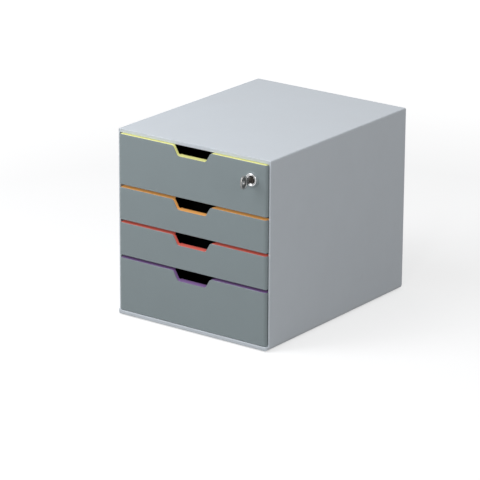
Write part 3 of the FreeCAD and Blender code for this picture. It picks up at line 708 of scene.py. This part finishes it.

# %% [markdown]
# ## Nickel, bright and dull
# Hands and pockets polish what stands proud on a key, and leave the pressed and milled hollows dull.
# The hollows are also darkened, which is painted shade. How far a spot is from the key's middle plane
# tells the one from the other. The neck and the blade scrape in the lock, so they are dull all over, and
# they carry the same painted shade.

# %% The key's finish
SUNK_BELOW, SUNK_EDGE, SUNK_PAINTED_SHADE, SUNK_GLOSS, BLADE_DULL_AND_SHADED = 0.86, 0.12, 0.68, 0.12, 0.85
SCRATCH_SCALE, SCRATCH_STRETCH, SCRATCH_GLOSS, SCRATCH_DEPTH = 700.0, (1.0, 0.12, 1.0), 0.2, 0.012 * MM
KEY_SMUDGE_SCALE, KEY_SMUDGE_SHADE = 300.0, 0.3


def key_metal(name, colour, roughness):
    """Nickel plate, bright on what stands proud, dull and darkened by painted shade in the hollows and on
    the neck and blade.
    """
    finish = Finish(name, colour, roughness, Metallic=1.0)
    across, along, _ = finish.axes()
    height = (across - key_middle.x).size() / KEY_HALF
    sunk = ((SUNK_BELOW - height) / SUNK_EDGE).held()
    sunk = sunk.larger(((along - neck_from) / MM).held() * BLADE_DULL_AND_SHADED)
    scratches = finish.noise(SCRATCH_SCALE, FINE_DETAIL, finish.stretched(SCRATCH_STRETCH))
    smudge = finish.noise(KEY_SMUDGE_SCALE, RICH_DETAIL) - NOISE_MIDDLE
    # Painted shade: the hollows, the neck and the blade are darkened.
    amount = (1.0 + smudge * KEY_SMUDGE_SHADE) * (1.0 - sunk * SUNK_PAINTED_SHADE)
    finish.feed("Base Color", finish.shade(amount))
    rough = roughness + sunk * SUNK_GLOSS + (scratches - NOISE_MIDDLE) * SCRATCH_GLOSS
    finish.feed("Roughness", rough.held())
    finish.relief(scratches, SCRATCH_DEPTH)
    print("finish", name)
    return finish.material

# %% [markdown]
# ## Putting the key together
# On the real key the bow, the neck and the blade are one strip of metal. Here they are three closed
# skins whose ends overlap. Joining them with a Boolean would look the same and could leave slivers, so
# they simply share one mesh.

# %% Press the bow and mill the blade
NICKEL_GREY, NICKEL_ROUGHNESS = (0.66, 0.65, 0.635), 0.18
key_shape = bmesh.new()
bow_front = [bow_ring(share, thickness) for share, thickness in bow_sections]
bow_back = [bow_ring(share, -thickness) for share, thickness in reversed(bow_sections)]
skin(key_shape, bow_front + bow_back, loop=True)
skin(key_shape, neck_sections())
skin(key_shape, blade_sections())
key = finished("flat_key", key_shape, key_metal("nickel plate", NICKEL_GREY, NICKEL_ROUGHNESS))
stand_in(key, "key", "loose_key")

# %% [markdown]
# ## The table
# The box seems to stand on a white sweep, a sheet that runs from the table up the wall without an
# edge. Real white paper would throw so much light back that the box loses its shade. So the sheet is
# two papers in one. Light that bounces meets a darker grey paper. The camera and the reflections meet
# a lighter grey paper with a glow of its own. Lamplight and glow add up to white, and where the box
# keeps the lamplight away its soft shadow shows. Further off the glow alone is white, so the sheet
# melts into the backdrop.

# %% The paper of the sweep
def flat_sheet(name, half_side, height):
    mesh = bpy.data.meshes.new(name)
    shape = bmesh.new()
    bmesh.ops.create_grid(shape, x_segments=1, y_segments=1, size=half_side)
    bmesh.ops.translate(shape, verts=shape.verts, vec=(0, 0, height))
    shape.to_mesh(mesh)
    shape.free()
    sheet = bpy.data.objects.new(name, mesh)
    bpy.context.scene.collection.objects.link(sheet)
    return sheet


PAPER_ROUGHNESS = 0.9


def sweep_paper(name, seen_grey, bounced_grey, near_glow, fade_start, fade_end):
    """Glowing grey paper to the eye, darker paper to the light that bounces off it."""
    finish = Finish(name, (seen_grey,) * 3, PAPER_ROUGHNESS, Specular_IOR_Level=0.0,
                    Emission_Strength=1.0)
    across, along, _ = finish.axes()
    away = (across ** 2 + along ** 2) ** 0.5
    fade = ((away - fade_start) / (fade_end - fade_start)).held()
    glow = (near_glow + (1.0 - near_glow) * fade) / seen_grey
    finish.feed("Emission Color", finish.shade(glow))
    grey = (bounced_grey,) * 3 + (1.0,)
    plain = finish.node("ShaderNodeBsdfDiffuse", None, {"Color": grey})
    paper = Flow(finish, finish.shader.outputs["BSDF"])
    blend = finish.node("ShaderNodeMixShader", None, {0: finish.seen(), 1: plain, 2: paper})
    finish.end(finish.tree.nodes["Material Output"], blend)
    return finish.material

# %% [markdown]
# ## How white and how far
# The two greys and the glow were set by looking at the picture: near the box the sheet is white where
# no shadow falls, and the shadow is nearly as strong as in the photograph. The sheet is far larger
# than the table, so that its edge never shows. It belongs to the stage and not to the object.

# %% Lay the floor
FLOOR_HALF_SIDE, FLOOR_HEIGHT = 30.0, 0.0
SEEN_GREY, BOUNCED_GREY, NEAR_GLOW = 0.5, 0.3, 0.61
FADE_START, FADE_END = 0.75, 2.0
floor = flat_sheet("floor", FLOOR_HALF_SIDE, FLOOR_HEIGHT)
paper = sweep_paper("floor paper", SEEN_GREY, BOUNCED_GREY, NEAR_GLOW, FADE_START, FADE_END)
floor.data.materials.append(paper)
floor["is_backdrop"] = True
print("floor", [round(side, 1) for side in floor.dimensions], "metres")

# %% [markdown]
# ## White all round
# The background of the photograph is plain white. Flooding the scene with light would also wash out
# the object, so the world shows white only to the camera and to reflections, and lights the object
# with a gentler grey.

# %% Set up the world
WORLD_STRENGTH, BACKDROP_STRENGTH = 0.41, 1.0
WHITE = (1.0, 1.0, 1.0)
world = bpy.data.worlds.new("studio")
bpy.context.scene.world = world
world.use_nodes = True
world.node_tree.nodes.clear()
surround = Wiring(world.node_tree)
soft = surround.node("ShaderNodeBackground", None, {"Color": (*WHITE, 1.0), "Strength": WORLD_STRENGTH})
white = surround.node("ShaderNodeBackground", None, {"Color": (*WHITE, 1.0), "Strength": BACKDROP_STRENGTH})
blend = surround.node("ShaderNodeMixShader", None, {0: surround.seen(), 1: soft, 2: white})
surround.end(surround.tree.nodes.new("ShaderNodeOutputWorld"), blend)
print("world light", WORLD_STRENGTH)

# %% [markdown]
# ## Soft studio lamps
# In the photograph the top is brightest, the fronts are lit evenly, the right side lies in soft shade,
# and a faint patch of shade lies on the table behind the box and to its right. One bare lamp would
# give hard shadows, so there are four soft boxes, as in a studio. One hangs over the box and lights
# the top, a little bluer than the rest. One stands at the left and lights the fronts. A small one
# beside the camera throws the patch of shade behind the box. The last one, at the right, keeps the
# side from going dark.

# %% Hang the lamps
MIDDLE = (0.0, 0.0, 0.15)
COOL_WHITE = (0.96, 0.985, 1.04)


def soft_box(name, place, size, power, colour=WHITE):
    """A square lamp of size metres and power watts that looks at the middle of the box."""
    lamp = bpy.data.lights.new(name, "AREA")
    lamp.color = colour
    lamp.shape = "SQUARE"
    lamp.size = size
    lamp.energy = power
    holder = bpy.data.objects.new(name, lamp)
    bpy.context.scene.collection.objects.link(holder)
    holder.location = place
    towards = Vector(MIDDLE) - Vector(place)
    holder.rotation_euler = towards.to_track_quat("-Z", "Y").to_euler()
    print(name, power, "watts from", round(towards.length, 2), "metres")


soft_box("overhead box", place=(-0.45, -0.75, 1.55), size=0.9, power=8.8, colour=COOL_WHITE)
soft_box("left front box", place=(-0.85, -1.15, 0.95), size=0.7, power=6.3)
soft_box("camera side box", place=(1.154, -2.591, 1.127), size=0.4, power=8.0)
soft_box("right box", place=(1.5, -0.9, 1.1), size=0.9, power=4.2)

# %% [markdown]
# ## The camera
# The photograph was taken from the right, a little above the box, with a long lens. The numbers were
# found by matching the box's edges and corners to the picture, which puts the camera about four and a
# half metres away. The upright edges are exactly parallel in the picture, which a lens that looks down
# on the box doesn't give. So the match is a compromise, and the worst edge, at the far left, is nearly
# three pixels off.

# %% Place the camera
YAW, PITCH, ROLL = math.radians(36.398), math.radians(18.523), math.radians(0.316)
CAMERA_PLACE = (2.5144, -3.4546, 1.5336)
SENSOR_WIDTH, FOCAL_LENGTH = 36.0, 222.37
lens = bpy.data.cameras.new("portrait lens")
lens.sensor_width = SENSOR_WIDTH
lens.lens = FOCAL_LENGTH
camera = bpy.data.objects.new("portrait camera", lens)
bpy.context.scene.collection.objects.link(camera)
camera.location = CAMERA_PLACE
aim = Euler((math.pi / 2 - PITCH, 0, YAW)).to_matrix() @ Matrix.Rotation(ROLL, 3, "Z")
camera.rotation_euler = aim.to_euler()
bpy.context.scene.camera = camera
bpy.context.scene.view_settings.view_transform = "Standard"
print("camera", round((camera.location - Vector(MIDDLE)).length, 2), "metres away")

# %% [markdown]
# ## Measuring the result
# On a real bench the finished box would be held against its drawing. The drawing here is the box round
# the solids as they came. Both boxes are written down, so anyone can see that the dressed object is
# not larger than the construction.

# %% Measure and finish
bare = [list(solid_low), list(solid_high)]
dressed = [list(corner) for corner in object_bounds()]
changes = [after - before for before, after in zip(bare[0] + bare[1], dressed[0] + dressed[1])]
print("corners moved by, in mm", [round(change / MM, 2) for change in changes])
